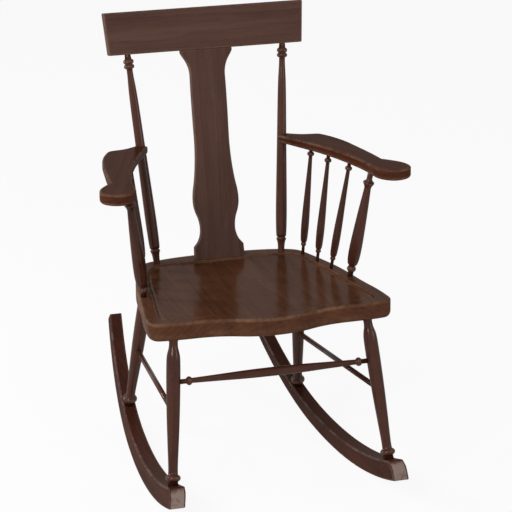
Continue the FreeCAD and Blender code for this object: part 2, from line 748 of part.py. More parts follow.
def front_stretcher():
    """Turned stretcher: a bead near each end and a swelling in the middle."""
    left, right = front_stretcher_ends()
    half = (right - left).Length / 2
    end = FRONT_STRETCHER_END_DIAMETER
    neck = FRONT_STRETCHER_NECK_DIAMETER
    middle = FRONT_STRETCHER_MIDDLE_DIAMETER
    bead = FRONT_STRETCHER_BEAD_X
    right_half = [
        (0, middle),
        (bead * 0.32, middle - 1.2),
        (bead * 0.64, neck + 3.3),
        (bead * 0.88, neck + 1),
        (bead - 6, neck),
        (bead - 2, FRONT_STRETCHER_BEAD_DIAMETER),
        (bead + 2, FRONT_STRETCHER_BEAD_DIAMETER),
        (bead + 6, end),
        (half, end),
    ]
    left_half = [(-height, diameter) for height, diameter in right_half[:0:-1]]
    solid = turned(left_half + right_half, TURNED_SIDES)
    return stood(solid, (left + right) * 0.5, right)


def side_stretcher_ends():
    """Ends of the right side stretcher's tenons, inside the rear and front legs."""
    rear = on_leg(rear_leg_line, SIDE_STRETCHER_REAR_Z)
    front = on_leg(front_leg_line, SIDE_STRETCHER_FRONT_Z)
    inset = LEG_BELLY_DIAMETER / 2 - STRETCHER_TENON_LENGTH
    return toward(rear, front, inset), toward(front, rear, inset)


# Pins


def crest_pin():
    """Dowel from the crest rail's back through the post's tenon."""
    foot, head = post_ends()
    across = on_back(POST_HEAD_X, CREST_HEIGHT, -1) - on_back(POST_HEAD_X, CREST_HEIGHT, 0)
    middle = toward(head, foot, -CREST_PIN_RISE)
    start = middle + across * (CREST_THICKNESS / 2)
    return start, start - across * CREST_PIN_LENGTH


def rocker_pin(line):
    """Dowel from the rocker's inner face through the leg's tenon."""
    head, foot = line
    middle = toward(foot, head, -ROCKER_PIN_DEPTH)
    inner_x = rocker_outer_x(middle.y, middle.z) - rocker_thickness(middle.y)
    start = V(inner_x, middle.y, middle.z)
    return start, start + V(ROCKER_PIN_LENGTH, 0, 0)


# Assembly

nodes = {}
front_leg_line = leg_line(FRONT_LEG_HEAD, FRONT_LEG_FOOT_Y)
rear_leg_line = leg_line(REAR_LEG_HEAD, REAR_LEG_FOOT_Y)
post_foot, post_head = post_ends()
arm_post_foot = V(*ARM_POST_FOOT, SEAT_TOP)
arm_post_head = V(*ARM_POST_HEAD, arm_underside_z(ARM_POST_HEAD[1]))
spindle_lines = [
    (V(*foot, SEAT_TOP), V(*head, arm_underside_z(head[1])))
    for foot, head in zip(SPINDLE_FEET, SPINDLE_HEADS)
]
stretcher_left, stretcher_right = front_stretcher_ends()
side_rear, side_front = side_stretcher_ends()
crest_pin_line = crest_pin()
pin_lines = [rocker_pin(line) for line in (front_leg_line, rear_leg_line)]
rocker_blank = rocker()

# Sockets on the right side of the seat; the left side has their twins
seat_cutters = [socket(post_foot, post_head * -1 + post_foot * 2, POST_FOOT_DIAMETER, POST_TENON_LENGTH)]
seat_cutters.append(
    socket(arm_post_foot, arm_post_foot * 2 - arm_post_head, ARM_POST_END_DIAMETER, POST_TENON_LENGTH)
)
for foot, head in spindle_lines:
    seat_cutters.append(socket(foot, foot * 2 - head, SPINDLE_FOOT_DIAMETER, ARM_TENON_LENGTH))
for head, foot in (front_leg_line, rear_leg_line):
    seat_cutters.append(socket(head, head * 2 - foot, LEG_HEAD_TENON_DIAMETER, LEG_HEAD_TENON_LENGTH))
seat = seat_plank().cut(seat_cutters + [mirrored(cutter) for cutter in seat_cutters])
nodes["seat"] = seat.cut(splat_tenon(END_GAP, GLUE_GAP))

crest_cutters = [
    socket(post_head, post_head * 2 - post_foot, POST_HEAD_DIAMETER, POST_TENON_LENGTH),
    rod(*crest_pin_line, PIN_DIAMETER),
]
crest = crest_rail().cut(crest_cutters + [mirrored(cutter) for cutter in crest_cutters])
nodes["crest_rail"] = crest.cut(splat_tenon(END_GAP, GLUE_GAP))
nodes["back_splat"] = back_splat()

arm_cutters = [
    socket(arm_post_head, arm_post_head * 2 - arm_post_foot, ARM_POST_END_DIAMETER, ARM_TENON_LENGTH)
]
for foot, head in spindle_lines:
    arm_cutters.append(socket(head, head * 2 - foot, SPINDLE_THROAT_DIAMETER, ARM_TENON_LENGTH))
screw = arm_screw()

legs = {}
legs["front_leg"] = leg(front_leg_line, rocker_blank).cut(
    [rod(stretcher_left, stretcher_right, FRONT_STRETCHER_END_DIAMETER + 2 * GLUE_GAP)]
)
legs["front_leg"] = legs["front_leg"].cut(rod(side_rear, side_front, SIDE_STRETCHER_DIAMETER + 2 * GLUE_GAP))
legs["rear_leg"] = leg(rear_leg_line, rocker_blank).cut(
    rod(side_rear, side_front, SIDE_STRETCHER_DIAMETER + 2 * GLUE_GAP)
)
rocker_cutters = []
for (head, foot), (pin_start, pin_end) in zip((front_leg_line, rear_leg_line), pin_lines):
    rocker_cutters.append(socket(foot, foot * 2 - head, LEG_FOOT_TENON_DIAMETER, LEG_FOOT_TENON_LENGTH))
    rocker_cutters.append(rod(pin_start, pin_end, PIN_DIAMETER))
legs["front_leg"] = legs["front_leg"].cut(rod(*pin_lines[0], PIN_DIAMETER))
legs["rear_leg"] = legs["rear_leg"].cut(rod(*pin_lines[1], PIN_DIAMETER))

paired = {
    "back_post": back_post().cut([screw, rod(*crest_pin_line, PIN_DIAMETER)]),
    "arm": arm().cut(arm_cutters + [screw]),
    "arm_post": arm_post(),
    "front_leg": legs["front_leg"],
    "rear_leg": legs["rear_leg"],
    "side_stretcher": rod(side_rear, side_front, SIDE_STRETCHER_DIAMETER),
    "rocker": rocker_blank.cut(rocker_cutters),
}
for name, shape in paired.items():
    nodes[name + "_right"] = shape
    nodes[name + "_left"] = mirrored(shape)
for number, (foot_place, head_place) in enumerate(zip(SPINDLE_FEET, SPINDLE_HEADS), 1):
    shape = spindle(foot_place, head_place)
    nodes["arm_spindle_right_%d" % number] = shape
    nodes["arm_spindle_left_%d" % number] = mirrored(shape)
nodes["front_stretcher"] = front_stretcher()
nodes["arm_screws"] = Part.makeCompound([screw, mirrored(screw)])
crest_pins = [rod(*crest_pin_line, PIN_DIAMETER)]
nodes["crest_pins"] = Part.makeCompound(crest_pins + [mirrored(pin) for pin in crest_pins])
rocker_pins = [rod(*line, PIN_DIAMETER) for line in pin_lines]
nodes["rocker_pins"] = Part.makeCompound(rocker_pins + [mirrored(pin) for pin in rocker_pins])

# Lean back until the centre of mass stands over the point where the rockers touch the floor
volume = sum(shape.Volume for shape in nodes.values())
moment = V(0, 0, 0)
for shape in nodes.values():
    for solid in shape.Solids:
        moment += solid.CenterOfMass * solid.Volume
balance = moment * (1 / volume)
lean = math.degrees(math.atan2(balance.y - ROCKER_CENTRE_Y, ROCKER_RADIUS - balance.z))
pivot = V(0, ROCKER_CENTRE_Y, ROCKER_RADIUS)
for shape in nodes.values():
    shape.rotate(pivot, V(1, 0, 0), -lean)
box = Part.makeCompound(list(nodes.values())).optimalBoundingBox(False)
shift = V(-(box.XMin + box.XMax) / 2, -(box.YMin + box.YMax) / 2, -box.ZMin)

os.makedirs("parts", exist_ok=True)
for name, shape in nodes.items():
    shape.translate(shift)
    shape.exportStep("parts/%s.step" % name)
    if not shape.isValid():
        print("invalid:", name)
print("lean %.3f degrees, shift %.2f and %.2f, box %.1f x %.1f x %.1f"
      % (lean, shift.y, shift.z, box.XLength, box.YLength, box.ZLength))
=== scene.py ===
import math

import bmesh
import bpy
from mathutils import Matrix, Vector


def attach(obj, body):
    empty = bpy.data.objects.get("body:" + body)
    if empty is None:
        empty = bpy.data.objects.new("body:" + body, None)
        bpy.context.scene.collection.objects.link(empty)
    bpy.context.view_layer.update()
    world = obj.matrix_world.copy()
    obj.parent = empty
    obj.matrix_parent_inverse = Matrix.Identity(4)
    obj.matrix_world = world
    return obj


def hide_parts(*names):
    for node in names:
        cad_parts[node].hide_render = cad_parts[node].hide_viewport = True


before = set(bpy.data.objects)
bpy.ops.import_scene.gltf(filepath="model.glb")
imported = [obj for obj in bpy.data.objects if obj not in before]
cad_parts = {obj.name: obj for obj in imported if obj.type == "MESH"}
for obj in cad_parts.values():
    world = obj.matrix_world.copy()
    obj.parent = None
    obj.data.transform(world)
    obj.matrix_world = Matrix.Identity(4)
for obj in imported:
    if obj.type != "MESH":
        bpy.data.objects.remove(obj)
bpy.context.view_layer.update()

# Places are written in millimetres in the chair's own level frame: X to the viewer's right, Y to the
# back, Z up, with the seat level and the lowest point of the rockers at Z = 0. The chair then leans back.
LEAN = 3.49
SHIFT_Y = -6.88
PIVOT = Vector((0, -34, 1040))

SEAT_TOP = 421.5
SEAT_UNDERSIDE = 381.5
BACK_FOOT_Y = 162.3
BACK_RAKE = 11.3
CREST_HEIGHT = 468
CREST_DEPTH = 94
CREST_THICKNESS = 21
SPLAT_THICKNESS = 15

LEVEL_TO_SHARED = (
    Matrix.Translation((0, SHIFT_Y, 0))
    @ Matrix.Translation(PIVOT)
    @ Matrix.Rotation(math.radians(-LEAN), 4, "X")
    @ Matrix.Translation(-PIVOT)
)
# Frames in which rings of places are given: the level frame itself, and the plane of the raked back
LEVEL = Matrix.Identity(4)
RAKE_TURN = Matrix.Rotation(math.radians(90 - BACK_RAKE), 4, "X")
BACK_PLANE = Matrix.Translation((0, BACK_FOOT_Y, SEAT_TOP)) @ RAKE_TURN


def on_back(x, rise):
    """A place at x, at a distance up the raked back plane, in the level frame."""
    return BACK_PLANE @ Vector((x, rise, 0))


# Outlines


def bow(start, end, turn, step):
    """Places on an arc that leaves start at a heading, one every step or so, with end but not start."""
    chord = end - start
    bend = 2 * math.remainder(math.atan2(chord.y, chord.x) - turn, 2 * math.pi)
    count = max(2, round(chord.length / step))
    if abs(bend) < 0.002:
        return [start.lerp(end, number / count) for number in range(1, count + 1)]
    radius = chord.length / (2 * math.sin(bend / 2))
    centre = start + Vector((-math.sin(turn), math.cos(turn))) * radius
    spoke = start - centre
    places = []
    for number in range(1, count + 1):
        angle = bend * number / count
        across = Vector((-spoke.y, spoke.x))
        places.append(centre + spoke * math.cos(angle) + across * math.sin(angle))
    return places


def flowing(stations, step):
    """Smooth line of tangent arcs, two between each pair of (x, y, heading in degrees)."""
    line = [Vector(stations[0][:2])]
    for (x0, y0, turn0), (x1, y1, turn1) in zip(stations, stations[1:]):
        start = Vector((x0, y0))
        end = Vector((x1, y1))
        leave = Vector((math.cos(math.radians(turn0)), math.sin(math.radians(turn0))))
        arrive = Vector((math.cos(math.radians(turn1)), math.sin(math.radians(turn1))))
        chord = end - start
        along = chord.dot(leave + arrive)
        spread = 2 * (1 - leave.dot(arrive))
        if spread < 0.0001:
            reach = chord.length_squared / (4 * chord.dot(arrive))
        else:
            reach = (math.sqrt(along**2 + spread * chord.length_squared) - along) / spread
        middle = (start + end + (leave - arrive) * reach) * 0.5
        heading = math.atan2(leave.y, leave.x)
        first = bow(start, middle, heading, step)
        toward = middle - start
        heading = 2 * math.atan2(toward.y, toward.x) - heading
        line += first + bow(middle, end, heading, step)
    return line


def both_sides(half):
    """Closed outline from its right half, which starts and ends on the middle line."""
    return half + [Vector((-place.x, place.y)) for place in reversed(half[1:-1])]


def polar(outline, centre, turns):
    """Places of a closed outline in the given directions from a centre."""
    spokes = sorted((math.atan2(p.y - centre.y, p.x - centre.x), (p - centre).length) for p in outline)
    spokes = [(spokes[-1][0] - 2 * math.pi, spokes[-1][1])] + spokes
    spokes.append((spokes[1][0] + 2 * math.pi, spokes[1][1]))
    places = []
    at = 0
    for turn in turns:
        while spokes[at + 1][0] < turn:
            at += 1
        turn_before, reach_before = spokes[at]
        turn_after, reach_after = spokes[at + 1]
        share = (turn - turn_before) / max(turn_after - turn_before, 0.000001)
        before = Vector((math.cos(turn_before), math.sin(turn_before))) * reach_before
        after = Vector((math.cos(turn_after), math.sin(turn_after))) * reach_after
        places.append(centre + before.lerp(after, share))
    return places


def inward(outline):
    """Inward direction at each place of a closed outline, as long as a mitre needs."""
    area = sum(a.x * b.y - a.y * b.x for a, b in zip(outline, outline[1:] + outline[:1]))
    side = 1 if area > 0 else -1
    ways = []
    for number, place in enumerate(outline):
        back = (place - outline[number - 1]).normalized()
        ahead = (outline[(number + 1) % len(outline)] - place).normalized()
        first = Vector((-back.y, back.x)) * side
        second = Vector((-ahead.y, ahead.x)) * side
        both = (first + second).normalized()
        ways.append(both / max(0.5, both.dot(second)))
    return ways


def drawn_in(outline, ways, distance):
    """An outline moved inward by a distance."""
    return [place + way * distance for place, way in zip(outline, ways)]


# Meshes

# How far beside a worn edge the wear has gone
WEAR_REACH = 1.5
# Smallest turn of an outline, in degrees, that counts as a corner and is rounded
CORNER_TURN = 25


def in_metres(own):
    """Matrix of an object whose own frame is given in the level frame, in millimetres."""
    matrix = LEVEL_TO_SHARED @ own
    matrix.translation *= 0.001
    return matrix


def grain_frame(origin, along, face):
    """Frame at origin with its Z along the wood's grain and its Y out of the board's face."""
    z = Vector(along).normalized()
    x = Vector(face).cross(z).normalized()
    y = z.cross(x)
    turn = Matrix((x, y, z)).transposed().to_4x4()
    return Matrix.Translation(origin) @ turn


def piece(name, rings, wear, own, nodes, slot, material, drawn=None):
    """Object from rings of places, skinned between neighbours and closed at both ends.

    own is its frame, whose Z the grain follows, and drawn the frame in which the rings are given.
    wear holds how worn each ring is, from 0 to 1, as one number or one for each place; the rockers' noses
    carry a painted highlight in it, at 7.
    """
    to_own = own.inverted() @ drawn if drawn is not None else Matrix.Identity(4)
    shape = bmesh.new()
    layer = shape.verts.layers.float.new("wear")
    rows = []
    for ring, worn in zip(rings, wear):
        row = []
        for number, place in enumerate(ring):
            vertex = shape.verts.new(to_own @ Vector(place) * 0.001)
            vertex[layer] = worn[number] if isinstance(worn, list) else worn
            row.append(vertex)
        rows.append(row)
    for low, high in zip(rows, rows[1:]):
        for number in range(len(low)):
            after = (number + 1) % len(low)
            shape.faces.new((low[number], low[after], high[after], high[number]))
    for ring in (rows[0], rows[-1]):
        shape.faces.new(ring)
    bmesh.ops.recalc_face_normals(shape, faces=shape.faces)
    mesh = bpy.data.meshes.new(name)
    shape.to_mesh(mesh)
    shape.free()
    mesh.polygons.foreach_set("use_smooth", [True] * len(mesh.polygons))
    mesh.materials.append(material)
    thing = bpy.data.objects.new(name, mesh)
    bpy.context.scene.collection.objects.link(thing)
    thing.matrix_world = in_metres(own)
    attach(thing, "root")
    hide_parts(*nodes)


def rounded_edge(radius, drop, steps):
    """(inset, distance from the face) pairs from the face round to the side."""
    turns = [math.pi / 2 * step / steps for step in range(steps + 1)]
    return [(radius * (1 - math.sin(turn)), drop * (1 - math.cos(turn))) for turn in turns]


def board_ring(outline, radius):
    """Function that gives the outline drawn in by a distance, with each corner rounded."""
    ways = inward(outline)
    corners = {}
    for number, place in enumerate(outline):
        back = outline[number - 1] - place
        ahead = outline[(number + 1) % len(outline)] - place
        turn = math.pi - back.angle(ahead)
        if math.degrees(turn) > CORNER_TURN:
            hollow = ways[number].dot(back + ahead) < 0
            corners[number] = (back.normalized(), ahead.normalized(), hollow)
    kept = []
    for number, place in enumerate(outline):
        clear = all((place - outline[corner]).length > radius * 1.2 for corner in corners)
        if number in corners or clear:
            kept.append(number)

    def drawn(distance):
        line = []
        for number in kept:
            place = outline[number] + ways[number] * distance
            if number not in corners:
                line.append(place)
                continue
            back, ahead, hollow = corners[number]
            reach = radius if hollow else max(radius - distance, 0.15)
            for t in (0, 0.25, 0.5, 0.75, 1):
                start = place + back * reach
                end = place + ahead * reach
                line.append(start * (1 - t) ** 2 + place * 2 * t * (1 - t) + end * t**2)
        return line

    return drawn


def slab_rings(outline, low_edge, high_edge, placed, corner=2.0, side_highlight=None):
    """Rings and wear of a board: placed(x, y, end, distance) puts a place near its low or high face.

    Its edges are worn and its faces aren't; its last argument gives, from a place, a painted highlight on
    its sides, which is carried in the wear.
    """
    drawn = board_ring(outline, corner)
    levels = [(low_edge[0][0] + WEAR_REACH, 0, 0, 0.0)]
    levels += [(inset, off, 0, 1.0) for inset, off in low_edge]
    levels += [(0, low_edge[-1][1] + WEAR_REACH, 0, None)]
    levels += [(0, high_edge[-1][1] + WEAR_REACH, 1, None)]
    levels += [(inset, off, 1, 1.0) for inset, off in high_edge[::-1]]
    levels += [(high_edge[0][0] + WEAR_REACH, 0, 1, 0.0)]
    rings = []
    wear = []
    for inset, off, end, worn in levels:
        line = drawn(inset)
        rings.append([placed(place.x, place.y, end, off) for place in line])
        if worn is None:
            worn = [side_highlight(place) if side_highlight else 0.0 for place in line]
        wear.append(worn)
    return rings, wear


def mirrored(place):
    """The left-hand twin of a right-hand place."""
    return Vector((-place[0], place[1], place[2]))


# Lathe work

LATHE_SIDES = 40
BEAD_STEPS = 8
RUN_STEP = 6.0


def smooth_run(points):
    """Places along a smooth line through (height, diameter) points, one every RUN_STEP or so."""
    slopes = []
    for number in range(len(points)):
        before = points[max(number - 1, 0)]
        after = points[min(number + 1, len(points) - 1)]
        slopes.append((after[1] - before[1]) / (after[0] - before[0]))
    line = []
    for (h0, d0), (h1, d1), s0, s1 in zip(points, points[1:], slopes, slopes[1:]):
        span = h1 - h0
        count = max(2, round(span / RUN_STEP))
        for number in range(1, count + 1):
            t = number / count
            width = (2 * t**3 - 3 * t**2 + 1) * d0 + (t**3 - 2 * t**2 + t) * span * s0
            width += (3 * t**2 - 2 * t**3) * d1 + (t**3 - t**2) * span * s1
            line.append((h0 + span * t, width))
    return line


def bead_run(start, middle, end):
    """Places on an arc through three (height, diameter) points, measured in height and radius."""
    ax, ay = start[0], start[1] / 2
    bx, by = middle[0], middle[1] / 2
    cx, cy = end[0], end[1] / 2
    cross = 2 * (ax * (by - cy) + bx * (cy - ay) + cx * (ay - by))
    if abs(cross) < 0.0001:
        return [middle, end]
    a_square = ax**2 + ay**2
    b_square = bx**2 + by**2
    c_square = cx**2 + cy**2
    x = (a_square * (by - cy) + b_square * (cy - ay) + c_square * (ay - by)) / cross
    y = (a_square * (cx - bx) + b_square * (ax - cx) + c_square * (bx - ax)) / cross
    radius = math.hypot(ax - x, ay - y)
    first = math.atan2(ay - y, ax - x)
    through = math.remainder(math.atan2(by - y, bx - x) - first, 2 * math.pi)
    last = math.remainder(math.atan2(cy - y, cx - x) - first, 2 * math.pi)
    if through * last < 0 or abs(last) < abs(through):
        last -= math.copysign(2 * math.pi, last)
    turns = [first + last * number / BEAD_STEPS for number in range(1, BEAD_STEPS + 1)]
    return [(x + radius * math.cos(turn), 2 * (y + radius * math.sin(turn))) for turn in turns]


def profile(start, stretches):
    """Lathe profile from (height, diameter) stretches: 1 place is straight, 2 an arc, more are smooth."""
    line = [start]
    wear = [0.0]
    for stretch in stretches:
        if len(stretch) == 1:
            line.append(stretch[0])
            wear.append(0.2)
        elif len(stretch) == 2:
            run = bead_run(line[-1], *stretch)
            wear += [math.sin(math.pi * (number + 1) / len(run)) for number in range(len(run))]
            line += run
        else:
            run = smooth_run([line[-1]] + stretch)
            wear += [0.15] * len(run)
            line += run
    return line, wear


def axis_frame(foot, head):
    """Frame that stands on foot with its Z toward head."""
    turn = (head - foot).to_track_quat("Z", "Y").to_matrix().to_4x4()
    return Matrix.Translation(foot) @ turn


def lathe(name, line, wear, foot, head, slot, material):
    """Turned piece between two places of the level frame, which replaces the node of its name."""
    turns = [2 * math.pi * side / LATHE_SIDES for side in range(LATHE_SIDES)]
    rings = [[(d / 2 * math.cos(turn), d / 2 * math.sin(turn), h) for turn in turns] for h, d in line]
    node = name.replace("smooth_", "")
    piece(name, rings, wear, axis_frame(foot, head), [node], slot, material)


def lathe_pair(name, line, wear, foot, head, slot, material):
    """A turned piece on the right and its twin on the left."""
    lathe("smooth_" + name % "right", line, wear, foot, head, slot, material)
    lathe("smooth_" + name % "left", line, wear, mirrored(foot), mirrored(head), slot, material)


# Materials

# Width of a growth ring, how far it wavers, and where the middle of the log lay, in metres
RING_WIDTH = 0.011
RING_WAVER = 0.035
LOG_MIDDLE = (0.03, 0.21)

# Reach of the random shift that gives each piece its own part of the wood, in metres
SHIFT_REACH = (0.37, 0.83, 5.0)

# Grain is drawn out along Z, and the fibres and pores even more
GRAIN_STRETCH = (1, 1, 0.09)
FIBRE_STRETCH = (1, 1, 0.03)

# Number of waves, clouds, worn patches, fibres and pores in a metre
WAVER_SCALE = 14
CLOUD_SCALE = 22
PATCH_SCALE = 38
FIBRE_SCALE = 420
PORE_SCALE = 1500

# How much clouds, fibres and rings lighten the stain
CLOUD_TONE = 0.55
FIBRE_TONE = 0.35
RING_TONE = 0.25

# How much fibres and rings stand out of the surface, and how far pores go into it
FIBRE_RELIEF = 0.6
RING_RELIEF = 0.25
PORE_RELIEF = 0.7

PORE_SHARE = 0.45
PORE_DARKNESS = 0.45
GRAIN_BUMP = 0.25
GRAIN_DEPTH = 0.0004
WOOD_ROUGHNESS = 0.5
VARNISH_ROUGHNESS = 0.17


class Graph:
    """Short ways to add and link the nodes of one material or world."""

    def __init__(self, owner):
        owner.use_nodes = True
        self.owner = owner
        self.nodes = owner.node_tree.nodes
        self.links = owner.node_tree.links

    def add(self, kind, inputs=None, **settings):
        node = self.nodes.new("ShaderNode" + kind)
        for key, value in settings.items():
            setattr(node, key, value)
        for key, value in (inputs or {}).items():
            self.put(node.inputs[key], value)
        return node

    def put(self, socket, value):
        if isinstance(value, bpy.types.NodeSocket):
            self.links.new(value, socket)
        else:
            socket.default_value = value

    def math(self, operation, first, second=0.0, clamp=False):
        return self.add("Math", {0: first, 1: second}, operation=operation, use_clamp=clamp).outputs[0]

    def span(self, value, low, high, to_low=0.0, to_high=1.0):
        inputs = {"Value": value, "From Min": low, "From Max": high, "To Min": to_low, "To Max": to_high}
        return self.add("MapRange", inputs, clamp=True).outputs["Result"]

    def noise(self, vector, scale, detail, roughness=0.55):
        inputs = {"Vector": vector, "Scale": scale, "Detail": detail, "Roughness": roughness}
        return self.add("TexNoise", inputs).outputs["Fac"]

    def mix(self, share, first, second):
        node = self.nodes.new("ShaderNodeMix")
        node.data_type = "RGBA"
        for key, value in ((0, share), (6, first), (7, second)):
            self.put(node.inputs[key], value)
        return node.outputs[2]


def shade(red, green, blue):
    """Linear colour from one written as it looks, from 0 to 255."""
    parts = [part / 255 for part in (red, green, blue)]
    return [*(p / 12.92 if p <= 0.04045 else ((p + 0.055) / 1.055) ** 2.4 for p in parts), 1.0]


def surface(name):
    """Graph of a new material, and the inputs of its shader."""
    g = Graph(bpy.data.materials.new(name))
    return g, g.nodes["Principled BSDF"].inputs


def own_place(g):
    """Place on the wood in metres, which differs from piece to piece so that no two look alike."""
    lot = g.add("ObjectInfo").outputs["Random"]
    parts = [g.math("MULTIPLY", lot, reach) for reach in SHIFT_REACH]
    shift = g.add("CombineXYZ", dict(zip("XYZ", parts))).outputs[0]
    place = g.add("TexCoord").outputs["Object"]
    return g.add("VectorMath", {0: place, 1: shift}, operation="ADD").outputs[0]


def growth_rings(g, long):
    """Growth rings round the log's middle, each of which darkens slowly and ends sharply."""
    parts = g.add("SeparateXYZ", {"Vector": long}).outputs
    x = g.math("ADD", parts[0], LOG_MIDDLE[0])
    y = g.math("ADD", parts[1], LOG_MIDDLE[1])
    across = g.add("CombineXYZ", {"X": x, "Y": y}).outputs[0]
    reach = g.add("VectorMath", {0: across}, operation="LENGTH").outputs["Value"]
    reach = g.math("ADD", reach, g.math("MULTIPLY", g.noise(long, WAVER_SCALE, 2), RING_WAVER))
    return g.math("POWER", g.math("FRACT", g.math("DIVIDE", reach, RING_WIDTH)), 2.2)


def stained_wood(name, dark, light, worn, coat=0.13, wear_share=0.4):
    """Varnished stained wood: growth rings round Z, fibres and pores along Z, and worn edges; the worn
    colour also paints a highlight where the wear carries one.
    """
    g, shader = surface(name)
    place = own_place(g)
    long = g.add("Mapping", {"Vector": place, "Scale": GRAIN_STRETCH}).outputs[0]
    hair = g.add("Mapping", {"Vector": place, "Scale": FIBRE_STRETCH}).outputs[0]
    rings = growth_rings(g, long)
    fibres = g.noise(hair, FIBRE_SCALE, 5, 0.65)
    pores = g.span(g.noise(hair, PORE_SCALE, 2), 0.60, 0.72)
    clouds = g.noise(long, CLOUD_SCALE, 4, 0.6)

    tone = g.math("MULTIPLY", g.span(clouds, 0.3, 0.7), CLOUD_TONE)
    tone = g.math("ADD", tone, g.math("MULTIPLY", g.span(fibres, 0.3, 0.7), FIBRE_TONE))
    early_wood = g.math("MULTIPLY", g.math("SUBTRACT", 1.0, rings), RING_TONE)
    tone = g.math("ADD", tone, early_wood, clamp=True)
    colour = g.mix(tone, shade(*dark), shade(*light))
    pore_colour = shade(*[part * PORE_DARKNESS for part in dark])
    colour = g.mix(g.math("MULTIPLY", pores, PORE_SHARE), colour, pore_colour)

    # The wear attribute holds edge wear and, on the rockers' noses, a painted highlight; both move the
    # stain toward the worn colour.
    wear = g.add("Attribute", attribute_name="wear").outputs["Fac"]
    patch = g.span(g.noise(place, PATCH_SCALE, 4, 0.7), 0.42, 0.66, 0.22, 1.0)
    scuffs_and_highlight = g.math("MULTIPLY", g.math("MULTIPLY", wear, patch), wear_share)
    colour = g.mix(scuffs_and_highlight, colour, shade(*worn))

    height = g.math("MULTIPLY", fibres, FIBRE_RELIEF)
    height = g.math("ADD", height, g.math("MULTIPLY", rings, RING_RELIEF))
    height = g.math("SUBTRACT", height, g.math("MULTIPLY", pores, PORE_RELIEF))
    relief = {"Height": height, "Strength": GRAIN_BUMP, "Distance": GRAIN_DEPTH}

    g.put(shader["Base Color"], colour)
    g.put(shader["Normal"], g.add("Bump", relief).outputs["Normal"])
    g.put(shader["Roughness"], WOOD_ROUGHNESS)
    g.put(shader["Specular IOR Level"], 0.0)
    g.put(shader["Coat Weight"], coat)
    g.put(shader["Coat Roughness"], VARNISH_ROUGHNESS)
    return g.owner


def bare_steel(name):
    """Plain steel of a wood screw."""
    g, shader = surface(name)
    grain = g.noise(g.add("TexCoord").outputs["Object"], 900, 2)
    g.put(shader["Base Color"], shade(150, 150, 152))
    g.put(shader["Metallic"], 1.0)
    g.put(shader["Roughness"], g.span(grain, 0.3, 0.7, 0.25, 0.45))
    return g.owner


seat_wood = stained_wood("seat_wood", (56, 28, 18), (98, 60, 40), (158, 122, 92), wear_share=0.48)
board_wood = stained_wood("board_wood", (70, 46, 38), (99, 72, 62), (146, 114, 94))
arm_wood = stained_wood("arm_wood", (50, 23, 14), (88, 48, 31), (146, 116, 94), coat=0.09)
turned_wood = stained_wood("turned_wood", (44, 21, 15), (84, 47, 34), (140, 100, 80), coat=0.34)
# Its pale worn colour is edge wear and also the painted highlight on the noses.
rocker_wood = stained_wood("rocker_wood", (46, 22, 15), (80, 43, 30), (146, 126, 116), coat=0.08)
dowel_wood = stained_wood("dowel_wood", (92, 62, 42), (130, 92, 62), (150, 112, 80))
steel = bare_steel("screw_steel")

hidden_pieces = {"arm_screws": steel, "crest_pins": dowel_wood, "rocker_pins": dowel_wood}
for node, material in hidden_pieces.items():
    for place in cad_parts[node].material_slots:
        place.material = material

# Seat

SEAT_OUTLINE = both_sides(flowing([
    (0, -288, 0), (165, -255.5, 0), (249, -250.5, 10), (268, -222, 93), (243, -50, 97), (193, 147, 109),
    (153, 179.5, 163), (0, 197.5, 180),
], 1.5))
RIM_OUTLINE = both_sides(flowing([
    (0, -259, 0), (165, -226.5, 0), (227, -223.5, 12), (239, -209.5, 95), (214, -50, 98), (178, 113, 109),
    (138, 147, 178), (0, 149, 180),
], 1.5))
SEAT_CENTRE = Vector((0, -55))
SADDLE_REACH = math.hypot(239, 166.5)
SADDLE_DEPTH = 5
SADDLE_EDGE_DEPTH = 0.8
SEAT_THICKNESS = SEAT_TOP - SEAT_UNDERSIDE
# Cut line inside the rim as (inset, depth), and how deep its worn lips reach
RIM_GROOVE = [(0, 0), (0.5, 0.7), (1.2, 1.9), (2.2, 2.6), (3.3, 2.6), (4.3, 2.1), (5.0, 1.4), (5.5, 1.1)]
LIP_DEPTH = 1.1


def saddle_depth(place):
    """Depth of the dished top below the seat's top."""
    share = (place - SEAT_CENTRE).length / SADDLE_REACH
    return SADDLE_DEPTH - (SADDLE_DEPTH - SADDLE_EDGE_DEPTH) * share**2


